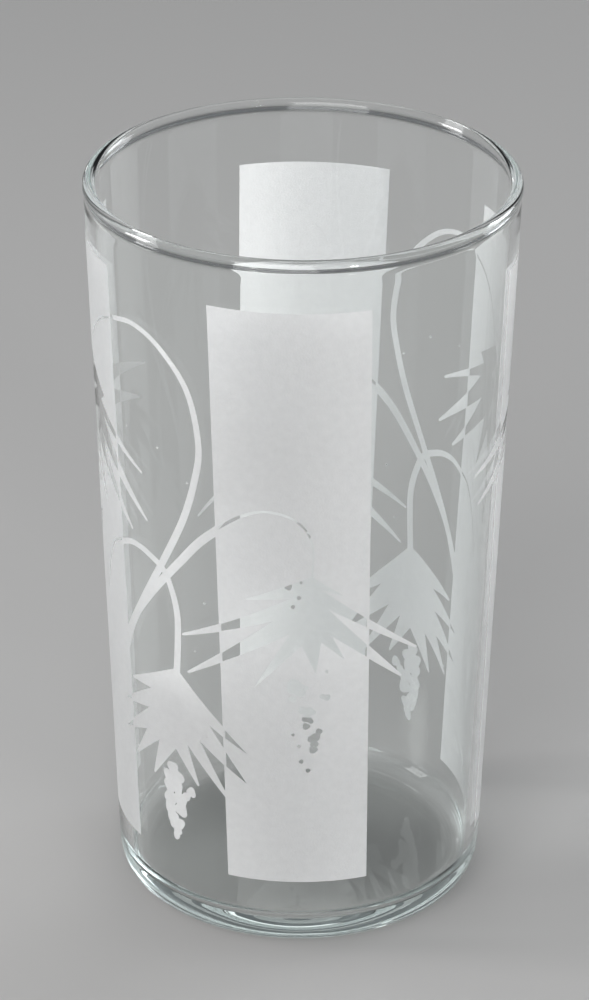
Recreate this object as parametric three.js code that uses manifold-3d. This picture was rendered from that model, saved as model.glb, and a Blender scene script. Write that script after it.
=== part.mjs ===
// Straight-sided drinking tumbler in thin clear glass, with a printed satin-white pattern.
// Millimetres, +Z up, resting on z = 0. Azimuth is measured in degrees from the front (-Y)
// towards +X. The pattern is drawn flat, as height against azimuth, and wrapped on the wall.

import * as THREE from 'three';
import Module from 'manifold-3d';

const wasm = await Module();
wasm.setup();
const { Manifold, Mesh } = wasm;

// ---- Glass body ----
const height = 125;
const rimRadius = 35;
const beadRadius = 1.05;
const wallRadiusAtFoot = 30.15;
const wallRadiusAtNeck = 34.78;
const neckHeight = 121.6;
const wallThicknessAtNeck = 1.5;
const wallThicknessAtFloor = 2;
const heelWidth = 5;
const heelHeight = 6;
const footRingInnerRadius = 21;
const puntRise = 1.2;
const floorHeight = 4.4;
const floorCornerRadius = 3.5;
const wallSides = 60;

// ---- Printed film ----
const filmGap = 0.01;
const filmThickness = 0.08;
const panelTop = 116.4;
const panelBottom = 13.3;
const panelLean = 3;
const frontPanelSpan = [-25.2, 18];
const sidePanelSpan = [-108.5, -62];
const panelBorder = 0.4;
const hairline = 0.05;
const repeatAzimuth = 180;
const repeatDrop = 2.8;
const millimetresPerDegree = 32.5 * Math.PI / 180;

// ---- Small helpers ----
const degrees = Math.PI / 180;
const mix = (a, b, share) => a + (b - a) * share;

function wallRadius(z) {
  return mix(wallRadiusAtFoot, wallRadiusAtNeck, z / neckHeight);
}

function innerRadius(z) {
  return wallRadius(z) - mix(wallThicknessAtFloor, wallThicknessAtNeck, z / neckHeight);
}

// Points on an elliptical arc; angles in degrees.
function arc(centreX, centreY, radiusX, radiusY, from, to, steps) {
  return Array.from({ length: steps + 1 }, (_, i) => {
    const angle = mix(from, to, i / steps) * degrees;
    return new THREE.Vector2(centreX + radiusX * Math.cos(angle), centreY + radiusY * Math.sin(angle));
  });
}

// ---- Glass body: one turned profile, from the underside round the rim to the inner floor ----
function punt() {
  const steps = 3;
  return Array.from({ length: steps }, (_, i) => {
    const share = i / steps;
    return new THREE.Vector2(footRingInnerRadius * share, puntRise * (1 - share * share));
  });
}

function heel() {
  const centre = wallRadius(heelHeight) - heelWidth;
  return arc(centre, heelHeight, heelWidth, heelHeight, -90, 0, 6);
}

function rimBead() {
  return arc(rimRadius - beadRadius, height - beadRadius, beadRadius, beadRadius, -50, 230, 10);
}

function innerCorner() {
  const top = floorHeight + floorCornerRadius;
  const centre = innerRadius(top) - floorCornerRadius;
  return arc(centre, top, floorCornerRadius, floorCornerRadius, 0, -90, 5);
}

function glassBody() {
  const profile = [
    ...punt(),
    new THREE.Vector2(footRingInnerRadius, 0),
    ...heel(),
    new THREE.Vector2(wallRadiusAtNeck, neckHeight),
    ...rimBead(),
    new THREE.Vector2(innerRadius(neckHeight), neckHeight),
    ...innerCorner(),
    new THREE.Vector2(0, floorHeight),
  ];
  const geometry = new THREE.LatheGeometry(profile, wallSides);
  geometry.rotateX(Math.PI / 2);
  return geometry;
}

// ---- Flat artwork: solids in x = azimuth (as mm), y = height, z = film thickness ----
function flat(point) {
  return new THREE.Vector2(point[0] * millimetresPerDegree, point[1]);
}

function weld(geometry) {
  const source = geometry.attributes.position;
  const corners = geometry.index ? Array.from(geometry.index.array) : [...Array(source.count).keys()];
  const seen = new Map();
  const points = [];
  const order = corners.map((corner) => {
    const point = new THREE.Vector3().fromBufferAttribute(source, corner);
    const key = point.toArray().map((value) => Math.round(value * 1e4)).join();
    if (!seen.has(key)) {
      seen.set(key, points.length);
      points.push(point);
    }
    return seen.get(key);
  });
  return { points, order };
}

function plate(outline) {
  const geometry = new THREE.ExtrudeGeometry(new THREE.Shape(outline), {
    depth: filmThickness,
    bevelEnabled: false,
  });
  const { points, order } = weld(geometry);
  return new Manifold(new Mesh({
    numProp: 3,
    vertProperties: new Float32Array(points.flatMap((point) => point.toArray())),
    triVerts: new Uint32Array(order),
  }));
}

const joined = (pieces) => pieces.reduce((all, piece) => all.add(piece));

// A printed panel: a leaning upright band, made wider all round by `grow` (mm).
function panelPlate(span, grow) {
  const margin = grow / millimetresPerDegree;
  const left = span[0] - margin;
  const right = span[1] + margin;
  const outline = [
    [left + panelLean, panelBottom - grow],
    [right + panelLean, panelBottom - grow],
    [right, panelTop + grow],
    [left, panelTop + grow],
  ];
  return plate(outline.map(flat));
}

// A drawn line of the given width through the points, tapering to `endWidth`.
function stroke(points, width, endWidth = width) {
  const spine = points.map(flat).map((point) => new THREE.Vector3(point.x, point.y, 0));
  const curve = new THREE.CatmullRomCurve3(spine, false, 'centripetal');
  const steps = points.length * 2;
  const left = [];
  const right = [];
  for (let i = 0; i <= steps; i += 1) {
    const share = i / steps;
    const place = curve.getPoint(share);
    const along = curve.getTangent(share);
    const half = mix(width, endWidth, share) / 2;
    left.push(new THREE.Vector2(place.x - along.y * half, place.y + along.x * half));
    right.unshift(new THREE.Vector2(place.x + along.y * half, place.y - along.x * half));
  }
  return plate([...right, ...left]);
}

// A hanging flower head: from its top, out to each petal's tip and back to the next notch.
function flowerHead({ top, petals }) {
  const outline = petals.map(([across, down]) => [top[0] + across, top[1] + down]);
  return plate([top, ...outline].map(flat));
}

// A blob of print at an offset from a flower's top. A large one has an uneven edge.
function blob(top, [across, down, radius]) {
  const sides = 10;
  const centre = flat([top[0] + across, top[1] + down]);
  const unevenness = 0.12 * Math.min(radius, 1);
  const outline = Array.from({ length: sides }, (_, i) => {
    const angle = i / sides * 2 * Math.PI;
    const reach = radius * (1 + unevenness * Math.sin(3 * angle + 2 * across + down));
    return new THREE.Vector2(centre.x + reach * Math.cos(angle), centre.y + reach * Math.sin(angle));
  });
  return plate(outline);
}

// ---- The pattern, drawn once for the front; azimuth in degrees, height in mm ----
// Three hanging flowers: one on the side panel, one on the front panel, one between them.
// Each petal is a tip and the notch after it, as offsets from the flower's top.
const sideFlower = {
  top: [-84, 97],
  petals: [
    [-15, -5], [-9, -6], [-40, -13], [-10, -10], [-37, -18.5], [-8, -13.5],
    [-17, -22], [-4, -15.5], [0, -25], [3.5, -16], [13, -25], [8, -15],
    [29, -25], [12, -12.5], [36, -22], [14, -9], [34.5, -13.8], [12, -6.3], [15, -5],
  ],
};
const frontFlower = {
  top: [3, 70.5],
  petals: [
    [-19, -4.8], [-5.8, -4], [-38.5, -13.8], [-10.5, -8.2], [-37, -20.5], [-6, -10.5],
    [-16.3, -20.8], [-2.6, -12.5], [1.4, -17.8], [2.8, -12], [9.7, -15.5], [5.8, -11],
    [27, -20.2], [4.6, -6], [31.8, -15.7], [3, -2.6], [9, -3.8],
  ],
};
const lowFlower = {
  top: [-38.3, 49.9],
  petals: [
    [-20, -6.1], [-11, -6], [-25.5, -11.3], [-12.5, -10], [-26, -16.8], [-14, -14.4],
    [-19.8, -20.2], [-8.2, -15.1], [-11, -21.8], [-1.4, -15.4], [6.5, -20.8], [3, -13.7],
    [16.5, -22], [7.6, -12.3], [22.6, -18.5], [10.8, -8.8], [22.7, -12.8],
  ],
};

// Printed stems, and the finer clear lines that carry them on across the panels.
const tallStem = [
  [-62, 49.5], [-58, 53.5], [-54.5, 56.8], [-50.2, 60.8], [-41.7, 69.1], [-34.3, 77.6],
  [-30, 85.5], [-28.6, 92], [-32, 101], [-41, 107], [-50.5, 109], [-60, 108],
];
const tallStemLine = [[-61, 107.8], [-69, 105.5], [-77, 101.5], [-84, 95]];
const midStem = [
  [-62.5, 47], [-58.3, 52.6], [-54, 57], [-48.8, 60.9], [-43.4, 64.7], [-35.7, 69.9],
  [-28.8, 74.6], [-21, 78.6],
];
const midStemLine = [
  [-24, 77.5], [-16.7, 80.5], [-10.3, 81.8], [-3.8, 81.2], [1, 79], [3.3, 75.5], [3, 69.5],
];
const lowStem = [
  [-64, 67.3], [-56.5, 69.2], [-51.5, 69.4], [-47.1, 68.8], [-42, 67.3], [-39.1, 64.1],
  [-37.4, 60], [-37.5, 55], [-38.4, 48.5],
];
const lowStemLine = [[-60, 68.6], [-66, 66.9], [-71, 62.5], [-75, 56]];

// Blobs under the flowers: offset from the flower's top, and radius. They are clear specks on
// the panels, and a printed cluster of stamens under the low flower.
const pollen = [
  [-4.6, -20.1, 1.35], [-3.2, -20.9, 1.1], [-1.6, -20.3, 0.5], [-5.2, -22.4, 0.6],
  [-2.3, -24.5, 0.75], [-0.7, -24.7, 0.85], [0.6, -24.9, 0.5], [-1, -26, 0.8],
  [0.2, -26.6, 0.4], [-1.2, -27.5, 0.6],
  [2.5, -28.5, 0.55], [1.6, -29.5, 0.75], [0.2, -29.9, 0.6], [1.2, -30.8, 0.7], [0.9, -31.9, 0.7],
  [3.4, -22, 0.5], [4.6, -22.2, 0.6], [4.5, -17.4, 0.3],
  [-5, -29.1, 0.3], [-3.3, -31.2, 0.3], [-2.6, -34.1, 0.4], [-0.6, -35.8, 0.4],
];
const stamens = [
  [-3, -19.3, 1.2], [-5, -21, 1.1], [-1.5, -20.8, 1.5], [-4.4, -23, 1.35], [-1.6, -22.8, 1.3],
  [-4.5, -25.2, 1.35], [-0.3, -25, 1.45], [-4.5, -27, 1.3], [-0.2, -26.8, 1.35],
  [-3.8, -28.6, 1.3], [-3.3, -29.8, 1.1], [-0.9, -29.6, 1.05], [-1.8, -31, 0.9],
  [-2.4, -32.2, 0.75], [2.2, -23.8, 0.8], [3.9, -22.7, 0.95],
];

const flowerHeads = () => [sideFlower, frontFlower, lowFlower].map(flowerHead);
const specks = ({ top }) => pollen.map((place) => blob(top, place));
const stamenCluster = () => joined(stamens.map((place) => blob(lowFlower.top, place)));

// Clear cut-outs in the panels; each stops short of the panel's edge by a printed border.
function cutOuts(span) {
  const lines = [
    stroke(tallStemLine, 0.4, 0.2),
    stroke(midStemLine, 0.55, 0.25),
    stroke(lowStemLine, 0.4, 0.2),
  ];
  const shapes = joined([
    ...flowerHeads(), ...lines, ...specks(sideFlower), ...specks(frontFlower),
  ]);
  return shapes.intersect(panelPlate(span, -panelBorder));
}

function panel(span) {
  return panelPlate(span, 0).subtract(cutOuts(span));
}

// Everything printed on the bare glass beside the panels, a hairline clear of them.
function printedMotifs() {
  const stems = [stroke(tallStem, 1.6, 0.8), stroke(midStem, 1.3, 1.5), stroke(lowStem, 1, 1.35)];
  const shapes = joined([...flowerHeads(), ...stems, stamenCluster()]);
  return shapes
    .subtract(panelPlate(sidePanelSpan, hairline))
    .subtract(panelPlate(frontPanelSpan, hairline));
}

// ---- From flat artwork to film on the wall ----
// Triangles of a flat solid, as lists of three points.
function trianglesOf(solid) {
  const mesh = solid.getMesh();
  const point = (corner) => new THREE.Vector3().fromArray(mesh.vertProperties, corner * mesh.numProp);
  const count = mesh.triVerts.length / 3;
  return Array.from({ length: count }, (_, i) => [0, 1, 2].map((k) => point(mesh.triVerts[i * 3 + k])));
}

// The separate bodies of a triangle list, found by shared corners.
function bodiesOf(triangles) {
  const parent = new Map();
  const keyOf = (point) => point.toArray().map((value) => Math.round(value * 1e3)).join();
  const rootOf = (key) => {
    let root = key;
    while (parent.get(root) !== root) root = parent.get(root);
    return root;
  };
  for (const triangle of triangles) {
    const keys = triangle.map(keyOf);
    keys.forEach((key) => parent.has(key) || parent.set(key, key));
    parent.set(rootOf(keys[1]), rootOf(keys[0]));
    parent.set(rootOf(keys[2]), rootOf(keys[0]));
  }
  const bodies = new Map();
  for (const triangle of triangles) {
    const root = rootOf(keyOf(triangle[0]));
    bodies.set(root, [...(bodies.get(root) ?? []), triangle]);
  }
  return [...bodies.values()];
}

// Split one triangle along the upright line x = `line`.
function splitAt(line, triangle) {
  const reach = 1e-6;
  const sides = triangle.map((point) => point.x - line);
  if (Math.min(...sides) > -reach || Math.max(...sides) < reach) return [triangle];
  const loops = { low: [], high: [] };
  triangle.forEach((point, i) => {
    const next = triangle[(i + 1) % 3];
    if (sides[i] <= reach) loops.low.push(point);
    if (sides[i] >= -reach) loops.high.push(point);
    const nextSide = sides[(i + 1) % 3];
    if ((sides[i] < -reach && nextSide > reach) || (sides[i] > reach && nextSide < -reach)) {
      const [from, to] = point.x < next.x ? [point, next] : [next, point];
      const crossing = from.clone().lerp(to, (line - from.x) / (to.x - from.x));
      loops.low.push(crossing);
      loops.high.push(crossing);
    }
  });
  return [loops.low, loops.high].flatMap((loop) => (
    loop.slice(2).map((point, i) => [loop[0], loop[i + 1], point])
  ));
}

// Wrap a flat point on the glass. The wall is a ring of flat facets, and the film follows them.
function wrapped(point, turn, drop) {
  const facet = 360 / wallSides;
  const place = point.x / millimetresPerDegree / facet;
  const z = point.y - drop;
  const radius = wallRadius(z) + filmGap + point.z;
  const corner = (index) => {
    const angle = (index * facet + turn) * degrees;
    return new THREE.Vector3(radius * Math.sin(angle), -radius * Math.cos(angle), z);
  };
  const first = Math.floor(place);
  return corner(first).lerp(corner(first + 1), place - first);
}

function filmGeometry(body, turn, drop) {
  const facetWidth = 360 / wallSides * millimetresPerDegree;
  const places = body.flat().map((point) => point.x / facetWidth);
  let pieces = body;
  for (let k = Math.ceil(Math.min(...places)); k <= Math.max(...places); k += 1) {
    pieces = pieces.flatMap((triangle) => splitAt(k * facetWidth, triangle));
  }
  const geometry = new THREE.BufferGeometry();
  const corners = pieces.flat().flatMap((point) => wrapped(point, turn, drop).toArray());
  geometry.setAttribute('position', new THREE.Float32BufferAttribute(corners, 3));
  return geometry;
}

// ---- Assembly ----
const group = new THREE.Group();
group.name = 'tumbler';

function addMesh(name, geometry, material) {
  geometry.computeVertexNormals();
  const mesh = new THREE.Mesh(geometry, material);
  mesh.name = name;
  group.add(mesh);
}

function glassMaterial() {
  return new THREE.MeshStandardMaterial({
    color: 0xdfeeec, roughness: 0.05, transparent: true, opacity: 0.35,
  });
}

function filmMaterial() {
  return new THREE.MeshStandardMaterial({ color: 0xdfe2e2, roughness: 0.6 });
}

// A printed body is named after the nearest of these places, given as azimuth and height.
const motifPlaces = {
  flower_spray: [-40, 65],
  stamens: [-40, 25],
  side_petal_far_upper: [-119, 85],
  side_petal_far_lower: [-117, 80],
  side_petal_near_upper: [-54, 85],
  side_petal_near_middle: [-53, 77],
  side_petal_near_lower: [-57, 73],
  front_petal_left_upper: [-30, 57.5],
  front_petal_left_lower: [-29, 52],
  front_petal_right_upper: [26, 57],
  front_petal_right_lower: [25, 52.5],
};

function nearestPlace(body) {
  const middle = new THREE.Box3().setFromPoints(body.flat()).getCenter(new THREE.Vector3());
  const distance = ([, place]) => flat(place).distanceTo(new THREE.Vector2(middle.x, middle.y));
  const [name] = Object.entries(motifPlaces).sort((a, b) => distance(a) - distance(b))[0];
  return name;
}

function addPrint(prefix, turn, drop) {
  const add = (name, body) => {
    addMesh(`${prefix}_${name}`, filmGeometry(body, turn, drop), filmMaterial());
  };
  add('side_panel', trianglesOf(panel(sidePanelSpan)));
  add('front_panel', trianglesOf(panel(frontPanelSpan)));
  bodiesOf(trianglesOf(printedMotifs())).forEach((body) => add(nearestPlace(body), body));
}

addMesh('glass_body', glassBody(), glassMaterial());
addPrint('print_a', 0, 0);
addPrint('print_b', repeatAzimuth, repeatDrop);

export default group;
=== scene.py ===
"""Looks for the printed clear tumbler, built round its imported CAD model. Metres, +Z up."""

import math

import bpy
from mathutils import Matrix, Vector
from mathutils.geometry import delaunay_2d_cdt


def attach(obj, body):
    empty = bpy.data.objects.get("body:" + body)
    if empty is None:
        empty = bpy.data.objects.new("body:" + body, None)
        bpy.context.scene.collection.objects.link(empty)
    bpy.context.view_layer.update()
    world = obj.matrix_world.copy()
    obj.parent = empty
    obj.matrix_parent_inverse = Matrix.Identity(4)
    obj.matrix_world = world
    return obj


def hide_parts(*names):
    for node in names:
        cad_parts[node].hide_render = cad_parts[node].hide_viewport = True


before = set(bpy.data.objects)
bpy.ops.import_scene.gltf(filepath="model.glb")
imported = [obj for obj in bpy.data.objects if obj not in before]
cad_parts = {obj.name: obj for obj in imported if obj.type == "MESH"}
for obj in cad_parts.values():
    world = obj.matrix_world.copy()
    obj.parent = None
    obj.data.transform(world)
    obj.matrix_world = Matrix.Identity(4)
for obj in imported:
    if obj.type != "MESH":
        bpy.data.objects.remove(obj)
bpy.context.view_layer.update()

MM = 0.001

# ---- Glass body, in mm: as in the CAD, with finer curves ----
HEIGHT = 125.0
RIM_RADIUS = 35.0
BEAD_RADIUS = 1.05
WALL_RADIUS_AT_FOOT = 30.15
WALL_RADIUS_AT_NECK = 34.78
NECK_HEIGHT = 121.6
WALL_AT_NECK = 1.5
WALL_AT_FLOOR = 2.0
HEEL_WIDTH = 5.0
HEEL_HEIGHT = 6.0
FOOT_RING_INNER = 21.0
PUNT_RISE = 1.2
FLOOR_HEIGHT = 4.4
FLOOR_DIP = 0.25
FLOOR_DIP_REACH = 25
FLOOR_CORNER = 3.5
NECK_TRIM = 0.02
LATHE_SIDES = 240
PUNT_STEPS = 16
HEEL_STEPS = 24
BEAD_STEPS = 30
BEAD_SPAN = (-38, 218)
CORNER_STEPS = 18
SHARP_ANGLE = 60

# ---- Print, in mm and degrees ----
PANEL_TOP = 116.4
PANEL_BOTTOM = 13.3
PANEL_LEAN = 3.0
FRONT_PANEL = (-25.2, 18.0)
SIDE_PANEL = (-108.5, -62.0)
PANEL_BORDER = 0.4
TIP_ROUND = 0.22
BLOB_SIDES = 30
BLOB_UNEVENNESS = 0.12
STROKE_STEPS = 6
CAP_STEPS = 6
MEAN_RADIUS = 32.5
MM_PER_DEGREE = MEAN_RADIUS * math.pi / 180
FILM_OUT = 0.02
FILM_IN = 0.01
FILM_SHARP_ANGLE = 40
# Each application of the print: degrees round the glass, and mm lower.
REPEATS = {"print_a": (0.0, 0.0), "print_b": (180.0, 2.8)}
# The flat print is cut along upright lines one degree apart, so that it wraps round smoothly.
CUT_DEGREES = range(-126, 37)
CUT_BOTTOM = 8
CUT_TOP = 120
CUT_TOLERANCE = 1e-5


def mix(a, b, share):
    return a + (b - a) * share


def wall_radius(z):
    return mix(WALL_RADIUS_AT_FOOT, WALL_RADIUS_AT_NECK, z / NECK_HEIGHT)


def inner_radius(z):
    return wall_radius(z) - mix(WALL_AT_FLOOR, WALL_AT_NECK, z / NECK_HEIGHT)


def arc(cx, cy, rx, ry, start, end, steps):
    """Points on an elliptical arc; angles in degrees."""
    turns = [math.radians(mix(start, end, i / steps)) for i in range(steps + 1)]
    return [(cx + rx * math.cos(t), cy + ry * math.sin(t)) for t in turns]


def smooth_line(points, steps):
    """A Catmull-Rom line through 2-D points, with `steps` points to each stretch."""
    ends = [
        tuple(2 * a - b for a, b in zip(points[0], points[1])),
        tuple(2 * a - b for a, b in zip(points[-1], points[-2])),
    ]
    path = [ends[0], *points, ends[1]]
    line = []
    for i in range(1, len(path) - 2):
        p0, p1, p2, p3 = (Vector(p) for p in path[i - 1 : i + 3])
        slope = p2 - p0
        bend = 2 * p0 - 5 * p1 + 4 * p2 - p3
        twist = 3 * p1 - p0 - 3 * p2 + p3
        for k in range(steps):
            t = k / steps
            line.append(0.5 * (2 * p1 + slope * t + bend * t * t + twist * t**3))
    line.append(Vector(points[-1]))
    return line


# ---- Materials ----
def new_material(name):
    """A node material with only its output node."""
    material = bpy.data.materials.new(name)
    material.use_nodes = True
    tree = material.node_tree
    tree.nodes.clear()
    output = tree.nodes.new("ShaderNodeOutputMaterial")
    return material, tree, output


def noise_node(tree, scale, detail, stretch=(1, 1, 1)):
    """Noise fixed to the piece; `scale` is in features to a metre."""
    where = tree.nodes.new("ShaderNodeTexCoord")
    mapping = tree.nodes.new("ShaderNodeMapping")
    mapping.inputs["Scale"].default_value = stretch
    texture = tree.nodes.new("ShaderNodeTexNoise")
    texture.inputs["Scale"].default_value = scale
    texture.inputs["Detail"].default_value = detail
    tree.links.new(where.outputs["Object"], mapping.inputs["Vector"])
    tree.links.new(mapping.outputs["Vector"], texture.inputs["Vector"])
    return texture.outputs["Fac"]


def ranged(tree, noise, low, high):
    """The usual spread of a noise, stretched to run from low to high."""
    node = tree.nodes.new("ShaderNodeMapRange")
    node.inputs["From Min"].default_value = 0.3
    node.inputs["From Max"].default_value = 0.7
    node.inputs["To Min"].default_value = low
    node.inputs["To Max"].default_value = high
    tree.links.new(noise, node.inputs["Value"])
    return node.outputs["Result"]


def bump_node(tree, height, strength, distance):
    """A bumped normal; `distance` is in metres."""
    node = tree.nodes.new("ShaderNodeBump")
    node.inputs["Strength"].default_value = strength
    node.inputs["Distance"].default_value = distance
    tree.links.new(height, node.inputs["Height"])
    return node.outputs["Normal"]


def tinted(tree, factor, low_colour, high_colour):
    """A colour that runs from the low one to the high one."""
    tint = tree.nodes.new("ShaderNodeMix")
    tint.data_type = "RGBA"
    tint.inputs["A"].default_value = (*low_colour, 1)
    tint.inputs["B"].default_value = (*high_colour, 1)
    tree.links.new(factor, tint.inputs["Factor"])
    return tint.outputs["Result"]


def glass_material():
    """Clear soda-lime glass: aqua where thick, with the slight ripple of a pressed wall."""
    material, tree, output = new_material("clear_glass")
    glass = tree.nodes.new("ShaderNodeBsdfPrincipled")
    glass.inputs["Base Color"].default_value = (0.985, 0.995, 0.99, 1)
    glass.inputs["Transmission Weight"].default_value = 1.0
    glass.inputs["Roughness"].default_value = 0.0
    glass.inputs["IOR"].default_value = 1.51
    ripple = noise_node(tree, 60.0, 1.0, (1, 1, 0.35))
    tree.links.new(bump_node(tree, ripple, 0.12, 0.0004), glass.inputs["Normal"])

    # Lamp light goes straight through, and less of it at the edges, for a pale shadow.
    lamp_pass = tree.nodes.new("ShaderNodeBsdfTransparent")
    edge = tree.nodes.new("ShaderNodeLayerWeight")
    edge.inputs["Blend"].default_value = 0.1
    shadow = tinted(tree, edge.outputs["Facing"], (1.0, 1.0, 1.0), (0.45, 0.48, 0.48))
    tree.links.new(shadow, lamp_pass.inputs["Color"])

    path = tree.nodes.new("ShaderNodeLightPath")
    blend = tree.nodes.new("ShaderNodeMixShader")
    tree.links.new(path.outputs["Is Shadow Ray"], blend.inputs["Fac"])
    tree.links.new(glass.outputs["BSDF"], blend.inputs[1])
    tree.links.new(lamp_pass.outputs["BSDF"], blend.inputs[2])
    tree.links.new(blend.outputs["Shader"], output.inputs["Surface"])

    depth = tree.nodes.new("ShaderNodeVolumeAbsorption")
    depth.inputs["Color"].default_value = (0.80, 0.96, 0.94, 1)
    depth.inputs["Density"].default_value = 10.0
    tree.links.new(depth.outputs["Volume"], output.inputs["Volume"])
    return material


def frost_material():
    """Satin fired print: nearly opaque, finely grained, a little light coming through."""
    material, tree, output = new_material("frosted_print")
    satin = tree.nodes.new("ShaderNodeBsdfPrincipled")
    satin.inputs["IOR"].default_value = 1.75
    mottle = ranged(tree, noise_node(tree, 900.0, 4.0), 0.0, 1.0)
    white = tinted(tree, mottle, (0.865, 0.875, 0.875), (0.905, 0.915, 0.915))
    tree.links.new(white, satin.inputs["Base Color"])
    grain = noise_node(tree, 3200.0, 2.0)
    tree.links.new(ranged(tree, grain, 0.40, 0.58), satin.inputs["Roughness"])
    tree.links.new(bump_node(tree, grain, 0.6, 0.00008), satin.inputs["Normal"])
    satin.inputs["Coat Weight"].default_value = 0.8
    satin.inputs["Coat Roughness"].default_value = 0.5
    satin.inputs["Coat IOR"].default_value = 1.7
    satin.inputs["Subsurface Weight"].default_value = 1.0
    satin.inputs["Subsurface Radius"].default_value = (1, 1, 1)
    satin.inputs["Subsurface Scale"].default_value = 0.00025
    tree.links.new(satin.outputs["BSDF"], output.inputs["Surface"])
    return material


def floor_material():
    material, tree, output = new_material("pale_floor")
    matte = tree.nodes.new("ShaderNodeBsdfPrincipled")
    matte.inputs["Base Color"].default_value = (0.68, 0.67, 0.66, 1)
    matte.inputs["Roughness"].default_value = 1.0
    matte.inputs["Specular IOR Level"].default_value = 0.0
    tree.links.new(matte.outputs["BSDF"], output.inputs["Surface"])
    return material


# ---- Meshes ----
def add_object(name, vertices, faces, material):
    mesh = bpy.data.meshes.new(name)
    mesh.from_pydata(vertices, [], faces)
    mesh.validate()
    mesh.update()
    mesh.materials.append(material)
    piece = bpy.data.objects.new(name, mesh)
    bpy.context.scene.collection.objects.link(piece)
    return piece


def shade(piece, sharp_angle):
    mesh = piece.data
    mesh.polygons.foreach_set("use_smooth", [True] * len(mesh.polygons))
    mesh.set_sharp_from_angle(angle=math.radians(sharp_angle))


def glass_profile():
    """The turned outline, from the underside round the rim to the middle of the inner floor."""
    punt = [
        (FOOT_RING_INNER * i / PUNT_STEPS,
         PUNT_RISE * (1 + math.cos(math.pi * i / PUNT_STEPS)) / 2)
        for i in range(1, PUNT_STEPS)
    ]
    heel = arc(wall_radius(HEEL_HEIGHT) - HEEL_WIDTH, HEEL_HEIGHT, HEEL_WIDTH, HEEL_HEIGHT,
               -90, 0, HEEL_STEPS)
    wall = [(wall_radius(z), z) for z in range(12, 120, 12)]
    # A short upright neck, slimmer than the wall by NECK_TRIM on each side, carries the bead.
    low, middle, top = 120.5, 121.8, 122.5
    neck_radius = WALL_RADIUS_AT_NECK - NECK_TRIM
    neck = [(wall_radius(low), low), (neck_radius, middle), (neck_radius, top)]
    bead = arc(RIM_RADIUS - BEAD_RADIUS, HEIGHT - BEAD_RADIUS, BEAD_RADIUS, BEAD_RADIUS,
               *BEAD_SPAN, BEAD_STEPS)
    inner_neck = [(inner_radius(middle) + NECK_TRIM, top), (inner_radius(middle), NECK_HEIGHT)]
    inner_wall = [(inner_radius(z), z) for z in range(110, 10, -12)]
    corner_z = FLOOR_HEIGHT + FLOOR_CORNER
    corner = arc(inner_radius(corner_z) - FLOOR_CORNER, corner_z, FLOOR_CORNER, FLOOR_CORNER,
                 0, -90, CORNER_STEPS)
    floor = [
        (r, FLOOR_HEIGHT - FLOOR_DIP * (1 - (r / FLOOR_DIP_REACH) ** 2)) for r in (20, 14, 8, 3)
    ]
    return [*punt, (FOOT_RING_INNER, 0.0), *heel, *wall, *neck, *bead, *inner_neck,
            *inner_wall, *corner, *floor]


def turned(name, profile, bottom_z, top_z, material):
    """A closed turned mesh: rings of the profile, closed on the axis at both ends."""
    vertices = []
    for radius, z in profile:
        for side in range(LATHE_SIDES):
            turn = 2 * math.pi * side / LATHE_SIDES
            vertices.append((radius * math.sin(turn) * MM, -radius * math.cos(turn) * MM, z * MM))
    faces = []
    for ring in range(len(profile) - 1):
        for side in range(LATHE_SIDES):
            near = ring * LATHE_SIDES + side
            far = ring * LATHE_SIDES + (side + 1) % LATHE_SIDES
            faces.append((near, far, far + LATHE_SIDES, near + LATHE_SIDES))
    last = (len(profile) - 1) * LATHE_SIDES
    for start, z, flip in ((0, bottom_z, True), (last, top_z, False)):
        hub = len(vertices)
        vertices.append((0, 0, z * MM))
        for side in range(LATHE_SIDES):
            edge = (start + side, start + (side + 1) % LATHE_SIDES)
            faces.append((edge[1], edge[0], hub) if flip else (edge[0], edge[1], hub))
    return add_object(name, vertices, faces, material)


# ---- The pattern: azimuth in degrees from the front, and height in mm ----
# A flower is its top, then each petal's tip and the notch after it as offsets from the top.
SIDE_FLOWER = ((-84, 97), (
    (-15, -5), (-9, -6), (-40, -13), (-10, -10), (-37, -18.5), (-8, -13.5),
    (-17, -22), (-4, -15.5), (0, -25), (3.5, -16), (13, -25), (8, -15),
    (29, -25), (12, -12.5), (36, -22), (14, -9), (34.5, -13.8), (12, -6.3), (15, -5),
))
FRONT_FLOWER = ((3, 70.5), (
    (-19, -4.8), (-5.8, -4), (-38.5, -13.8), (-10.5, -8.2), (-37, -20.5), (-6, -10.5),
    (-16.3, -20.8), (-2.6, -12.5), (1.4, -17.8), (2.8, -12), (9.7, -15.5), (5.8, -11),
    (27, -20.2), (4.6, -6), (31.8, -15.7), (3, -2.6), (9, -3.8),
))
LOW_FLOWER = ((-38.3, 49.9), (
    (-20, -6.1), (-11, -6), (-25.5, -11.3), (-12.5, -10), (-26, -16.8), (-14, -14.4),
    (-19.8, -20.2), (-8.2, -15.1), (-11, -21.8), (-1.4, -15.4), (6.5, -20.8), (3, -13.7),
    (16.5, -22), (7.6, -12.3), (22.6, -18.5), (10.8, -8.8), (22.7, -12.8),
))
FLOWERS = (SIDE_FLOWER, FRONT_FLOWER, LOW_FLOWER)
TALL_STEM = (
    (-62, 49.5), (-58, 53.5), (-54.5, 56.8), (-50.2, 60.8), (-41.7, 69.1), (-34.3, 77.6),
    (-30, 85.5), (-28.6, 92), (-32, 101), (-41, 107), (-50.5, 109), (-60, 108),
)
TALL_STEM_LINE = ((-61, 107.8), (-69, 105.5), (-77, 101.5), (-84, 95))
MID_STEM = (
    (-62.5, 47), (-58.3, 52.6), (-54, 57), (-48.8, 60.9), (-43.4, 64.7), (-35.7, 69.9),
    (-28.8, 74.6), (-21, 78.6),
)
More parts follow.
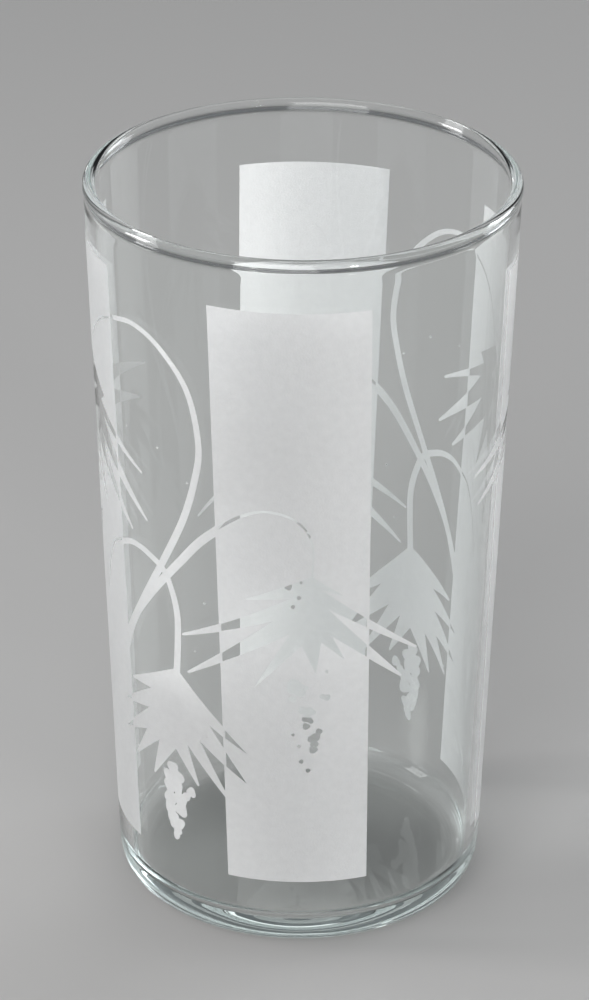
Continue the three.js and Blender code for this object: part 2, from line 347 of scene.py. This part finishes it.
MID_STEM_LINE = (
    (-24, 77.5), (-16.7, 80.5), (-10.3, 81.8), (-3.8, 81.2), (1, 79), (3.3, 75.5), (3, 69.5),
)
LOW_STEM = (
    (-64, 67.3), (-56.5, 69.2), (-51.5, 69.4), (-47.1, 68.8), (-42, 67.3), (-39.1, 64.1),
    (-37.4, 60), (-37.5, 55), (-38.4, 48.5),
)
LOW_STEM_LINE = ((-60, 68.6), (-66, 66.9), (-71, 62.5), (-75, 56))

# Blobs under the flowers: offset from the flower's top, and radius in mm. POLLEN is left clear in
# the panel under each upper flower, and STAMENS are printed under the low flower.
POLLEN = (
    (-4.6, -20.1, 1.35), (-3.2, -20.9, 1.1), (-1.6, -20.3, 0.5), (-5.2, -22.4, 0.6),
    (-2.3, -24.5, 0.75), (-0.7, -24.7, 0.85), (0.6, -24.9, 0.5), (-1, -26, 0.8),
    (0.2, -26.6, 0.4), (-1.2, -27.5, 0.6),
    (2.5, -28.5, 0.55), (1.6, -29.5, 0.75), (0.2, -29.9, 0.6), (1.2, -30.8, 0.7),
    (0.9, -31.9, 0.7),
    (3.4, -22, 0.5), (4.6, -22.2, 0.6), (4.5, -17.4, 0.3),
    (-5, -29.1, 0.3), (-3.3, -31.2, 0.3), (-2.6, -34.1, 0.4), (-0.6, -35.8, 0.4),
)
STAMENS = (
    (-3, -19.3, 1.2), (-5, -21, 1.1), (-1.5, -20.8, 1.5), (-4.4, -23, 1.35), (-1.6, -22.8, 1.3),
    (-4.5, -25.2, 1.35), (-0.3, -25, 1.45), (-4.5, -27, 1.3), (-0.2, -26.8, 1.35),
    (-3.8, -28.6, 1.3), (-3.3, -29.8, 1.1), (-0.9, -29.6, 1.05), (-1.8, -31, 0.9),
    (-2.4, -32.2, 0.75), (2.2, -23.8, 0.8), (3.9, -22.7, 0.95),
)

# Tiny stray flecks of print on the clear glass: azimuth and height.
STRAY_FLECKS = ((-28, 63.5), (-31.5, 54.2), (-55.5, 90), (-42.5, 89), (-32.5, 84.5), (-57.5, 31))
FLECK_RADIUS = 0.18

# Each part of the pattern that stands off the panels, and roughly where its middle is.
MOTIF_PLACES = {
    "flower_spray": (-40, 65),
    "stamens": (-40, 25),
    "side_petal_far_upper": (-119, 85),
    "side_petal_far_lower": (-117, 80),
    "side_petal_near_upper": (-54, 85),
    "side_petal_near_middle": (-53, 77),
    "side_petal_near_lower": (-57, 73),
    "front_petal_left_upper": (-30, 57.5),
    "front_petal_left_lower": (-29, 52),
    "front_petal_right_upper": (26, 57),
    "front_petal_right_lower": (25, 52.5),
}


def flat(azimuth, z):
    """A point of the flat print, from its azimuth in degrees and its height."""
    return Vector((azimuth * MM_PER_DEGREE, z))


def panel_outline(span, grow):
    """A leaning panel, `grow` mm larger all round."""
    margin = grow / MM_PER_DEGREE
    left, right = span[0] - margin, span[1] + margin
    low, high = PANEL_BOTTOM - grow, PANEL_TOP + grow
    corners = ((left + PANEL_LEAN, low), (right + PANEL_LEAN, low), (right, high), (left, high))
    return [flat(*corner) for corner in corners]


def stroke_outline(points, width, end_width):
    """A smooth stroke through the points, from one width to another."""
    spine = smooth_line([flat(*p) for p in points], STROKE_STEPS)
    left, right = [], []
    for i, place in enumerate(spine):
        ahead, behind = spine[min(i + 1, len(spine) - 1)], spine[max(i - 1, 0)]
        along = (ahead - behind).normalized()
        half = mix(width, end_width, i / (len(spine) - 1)) / 2
        across = Vector((-along.y, along.x)) * half
        left.append(place + across)
        right.append(place - across)
    return right + left[::-1]


def flower_outline(top, petals):
    """From the top, out to each petal's tip and back to the next notch."""
    return [flat(*top)] + [flat(top[0] + across, top[1] + down) for across, down in petals]


def blunt(outline):
    """The same flower with a round end, TIP_ROUND in radius, on each petal."""
    rounded = []
    for i, place in enumerate(outline):
        if i % 2 == 0:
            rounded.append(place)
            continue
        before, after = outline[i - 1], outline[(i + 1) % len(outline)]
        along = (place - (before + after) / 2).normalized()
        heading = math.degrees(math.atan2(along.y, along.x))
        quarter = 90 if along.cross(before - place) < 0 else -90
        start, end = heading - quarter, heading + quarter
        cap = arc(*place, TIP_ROUND, TIP_ROUND, start, end, CAP_STEPS)
        rounded += [Vector(p) for p in cap]
    return rounded


def blob_outline(top, across, down, radius):
    """A round blob; the larger it is, up to 1 mm in radius, the less even its edge."""
    centre = flat(top[0] + across, top[1] + down)
    unevenness = BLOB_UNEVENNESS * min(radius, 1)
    outline = []
    for i in range(BLOB_SIDES):
        angle = 2 * math.pi * i / BLOB_SIDES
        reach = radius * (1 + unevenness * math.sin(3 * angle + 2 * across + down))
        outline.append(centre + Vector((math.cos(angle), math.sin(angle))) * reach)
    return outline


def flower_outlines():
    return [flower_outline(*flower) for flower in FLOWERS]


def cut_outlines():
    """The thin stems and the specks that are left clear in the panels."""
    lines = [
        stroke_outline(TALL_STEM_LINE, 0.4, 0.2),
        stroke_outline(MID_STEM_LINE, 0.55, 0.25),
        stroke_outline(LOW_STEM_LINE, 0.4, 0.2),
    ]
    specks = [
        blob_outline(flower[0], *speck)
        for flower in (SIDE_FLOWER, FRONT_FLOWER)
        for speck in POLLEN
    ]
    return lines + specks


def cluster_outlines():
    return [blob_outline(LOW_FLOWER[0], *blob) for blob in STAMENS]


def stem_outlines():
    return [
        stroke_outline(TALL_STEM, 1.6, 0.8),
        stroke_outline(MID_STEM, 1.3, 1.5),
        stroke_outline(LOW_STEM, 1.0, 1.35),
    ]


def printed_areas():
    """The flat print, cut into triangles: its corners, and each piece's list of triangles."""
    kinds, outlines = [], []
    groups = {
        "side": [panel_outline(SIDE_PANEL, 0)],
        "front": [panel_outline(FRONT_PANEL, 0)],
        "inset": [panel_outline(span, -PANEL_BORDER) for span in (SIDE_PANEL, FRONT_PANEL)],
        "flower": flower_outlines(),
        "cut": cut_outlines(),
        "fleck": [blob_outline(place, 0, 0, FLECK_RADIUS) for place in STRAY_FLECKS],
        "printed": [*map(blunt, flower_outlines()), *stem_outlines(), *cluster_outlines()],
    }
    for kind, members in groups.items():
        kinds += [kind] * len(members)
        outlines += members
    points, loops = [], []
    for outline in outlines:
        loops.append(list(range(len(points), len(points) + len(outline))))
        points += outline
    lines = []
    for degree in CUT_DEGREES:
        lines.append((len(points), len(points) + 1))
        points += [flat(degree, CUT_BOTTOM), flat(degree, CUT_TOP)]
    corners, _, triangles, _, _, owners = delaunay_2d_cdt(
        points, lines, loops, 0, CUT_TOLERANCE, True
    )
    areas, loose = {}, []
    for triangle, ids in zip(triangles, owners):
        inside = {kinds[i] for i in ids}
        panel = "side" if "side" in inside else "front" if "front" in inside else None
        if panel:
            # Within a panel's border, the pattern is left clear.
            if not ("inset" in inside and inside & {"flower", "cut"}):
                areas.setdefault(panel + "_panel", []).append(triangle)
        elif "printed" in inside:
            loose.append(triangle)
        elif "fleck" in inside:
            areas.setdefault("flower_spray", []).append(triangle)
    for island in islands(loose):
        xs, ys = zip(*(corners[i] for triangle in island for i in triangle))
        middle = Vector((min(xs) + max(xs), min(ys) + max(ys))) / 2
        name = min(MOTIF_PLACES, key=lambda n: (flat(*MOTIF_PLACES[n]) - middle).length)
        areas.setdefault(name, []).extend(island)
    return corners, areas


def islands(triangles):
    """Groups of triangles joined by shared corners."""
    parent = {}

    def root(i):
        while parent.setdefault(i, i) != i:
            i = parent[i]
        return i

    for triangle in triangles:
        for corner in triangle[1:]:
            parent[root(corner)] = root(triangle[0])
    found = {}
    for triangle in triangles:
        found.setdefault(root(triangle[0]), []).append(triangle)
    return list(found.values())


def wrapped(point, offset, turn, drop):
    """A point of the flat print laid round the glass, `offset` mm outside its wall."""
    z = point.y - drop
    angle = math.radians(point.x / MM_PER_DEGREE + turn)
    radius = wall_radius(z) + offset
    return (radius * math.sin(angle) * MM, -radius * math.cos(angle) * MM, z * MM)


def film(name, corners, triangles, turn, drop, material):
    """A closed film: outer and inner skins of the triangles, joined round their borders."""
    used = sorted({i for t in triangles for i in t})
    place = {corner: i for i, corner in enumerate(used)}
    count = len(used)
    vertices = [wrapped(corners[i], FILM_OUT, turn, drop) for i in used]
    vertices += [wrapped(corners[i], -FILM_IN, turn, drop) for i in used]
    faces, edges = [], []
    for triangle in triangles:
        a, b, c = (place[i] for i in triangle)
        faces += [(a, b, c), (c + count, b + count, a + count)]
        edges += [(a, b), (b, c), (c, a)]
    known = set(edges)
    for a, b in edges:
        if (b, a) not in known:
            faces.append((b, a, a + count, b + count))
    piece = add_object(name, vertices, faces, material)
    shade(piece, FILM_SHARP_ANGLE)
    return piece


# ---- Stage ----
FLOOR_HALF_WIDTH = 3.0
FLOOR_LEVEL = -0.00005
LAMP_TARGET = (0, 0, 0.06)
# Spreads in degrees. The low lamps have a grid, to light the glass and not the floor under them.
OPEN = 180
GRID = 90
WHITE = (1, 1, 1)
COOL = (0.93, 0.97, 1.0)
# Each lamp: place and size in metres, power in watts, spread in degrees, colour.
LAMPS = {
    "front_softbox": ((-0.32, -1.15, 0.95), (1.0, 0.7), 7.8, OPEN, WHITE),
    "back_softbox": ((0.25, 0.80, 1.20), (0.9, 0.6), 1.9, OPEN, WHITE),
    "left_softbox": ((-1.15, 0.02, 0.35), (0.30, 0.6), 1.85, GRID, WHITE),
    "right_strip": ((0.50, -1.08, 0.09), (0.08, 0.14), 1.4, GRID, WHITE),
    "heel_light": ((0.96, 0.61, 0.37), (0.45, 0.5), 0.85, GRID, COOL),
    "rim_light": ((-0.40, 1.10, 0.17), (0.06, 0.12), 0.02, GRID, WHITE),
}
SKY_COLOUR = (0.86, 0.90, 0.94, 1)
SKY_STRENGTH = 0.16

CAMERA_DISTANCE = 0.7377
CAMERA_ELEVATION = math.radians(26.38)
CAMERA_ROLL = math.radians(0.30)
CAMERA_AIM = Vector((-0.00107, 0, 0.06768))
CAMERA_LENS = 162.0
SENSOR_WIDTH = 36


def area_light(name, place, size, energy, spread, colour):
    data = bpy.data.lights.new(name, "AREA")
    data.shape = "RECTANGLE"
    data.size, data.size_y = size
    data.energy = energy
    data.spread = math.radians(spread)
    data.color = colour
    lamp = bpy.data.objects.new(name, data)
    lamp.location = place
    lamp.visible_camera = False
    towards = Vector(LAMP_TARGET) - Vector(place)
    lamp.rotation_euler = towards.to_track_quat("-Z", "Y").to_euler()
    bpy.context.scene.collection.objects.link(lamp)


def set_stage():
    half, level = FLOOR_HALF_WIDTH, FLOOR_LEVEL
    corners = [(-half, -half, level), (half, -half, level), (half, half, level),
               (-half, half, level)]
    floor = add_object("floor", corners, [(0, 1, 2, 3)], floor_material())
    for name, settings in LAMPS.items():
        area_light(name, *settings)
    world = bpy.data.worlds.new("studio")
    world.use_nodes = True
    background = world.node_tree.nodes["Background"]
    background.inputs["Color"].default_value = SKY_COLOUR
    background.inputs["Strength"].default_value = SKY_STRENGTH
    bpy.context.scene.world = world


def set_camera():
    """A long lens from the front, looking down on the rim, with a very slight roll."""
    forward = Vector((0, math.cos(CAMERA_ELEVATION), -math.sin(CAMERA_ELEVATION)))
    right = Vector((1, 0, 0))
    up = Vector((0, math.sin(CAMERA_ELEVATION), math.cos(CAMERA_ELEVATION)))
    camera_right = right * math.cos(CAMERA_ROLL) + up * math.sin(CAMERA_ROLL)
    camera_up = up * math.cos(CAMERA_ROLL) - right * math.sin(CAMERA_ROLL)
    data = bpy.data.cameras.new("camera")
    data.sensor_width = SENSOR_WIDTH
    data.lens = CAMERA_LENS
    data.clip_start = 0.01
    camera = bpy.data.objects.new("camera", data)
    axes = Matrix((camera_right, camera_up, -forward)).transposed()
    place = Matrix.Translation(CAMERA_AIM - forward * CAMERA_DISTANCE)
    camera.matrix_world = place @ axes.to_4x4()
    bpy.context.scene.collection.objects.link(camera)
    bpy.context.scene.camera = camera


def set_light_paths():
    """Enough bounces for clear glass, with stray bright dots held down."""
    scene = bpy.context.scene
    scene.view_settings.view_transform = "Standard"
    scene.cycles.max_bounces = 24
    scene.cycles.transmission_bounces = 20
    scene.cycles.glossy_bounces = 8
    scene.cycles.transparent_max_bounces = 24
    scene.cycles.sample_clamp_indirect = 4.0
    scene.cycles.use_denoising = True
    scene.cycles.caustics_refractive = False


# ---- Assembly ----
def build_glass():
    piece = turned("tumbler_glass", glass_profile(), PUNT_RISE, FLOOR_HEIGHT - FLOOR_DIP,
                   glass_material())
    shade(piece, SHARP_ANGLE)
    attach(piece, "root")
    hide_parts("glass_body")


def build_print():
    corners, areas = printed_areas()
    material = frost_material()
    for prefix, (turn, drop) in REPEATS.items():
        for name, triangles in areas.items():
            piece = film(f"{prefix}_{name}_film", corners, triangles, turn, drop, material)
            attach(piece, "root")
            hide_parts(f"{prefix}_{name}")


build_glass()
build_print()
set_stage()
set_camera()
set_light_paths()
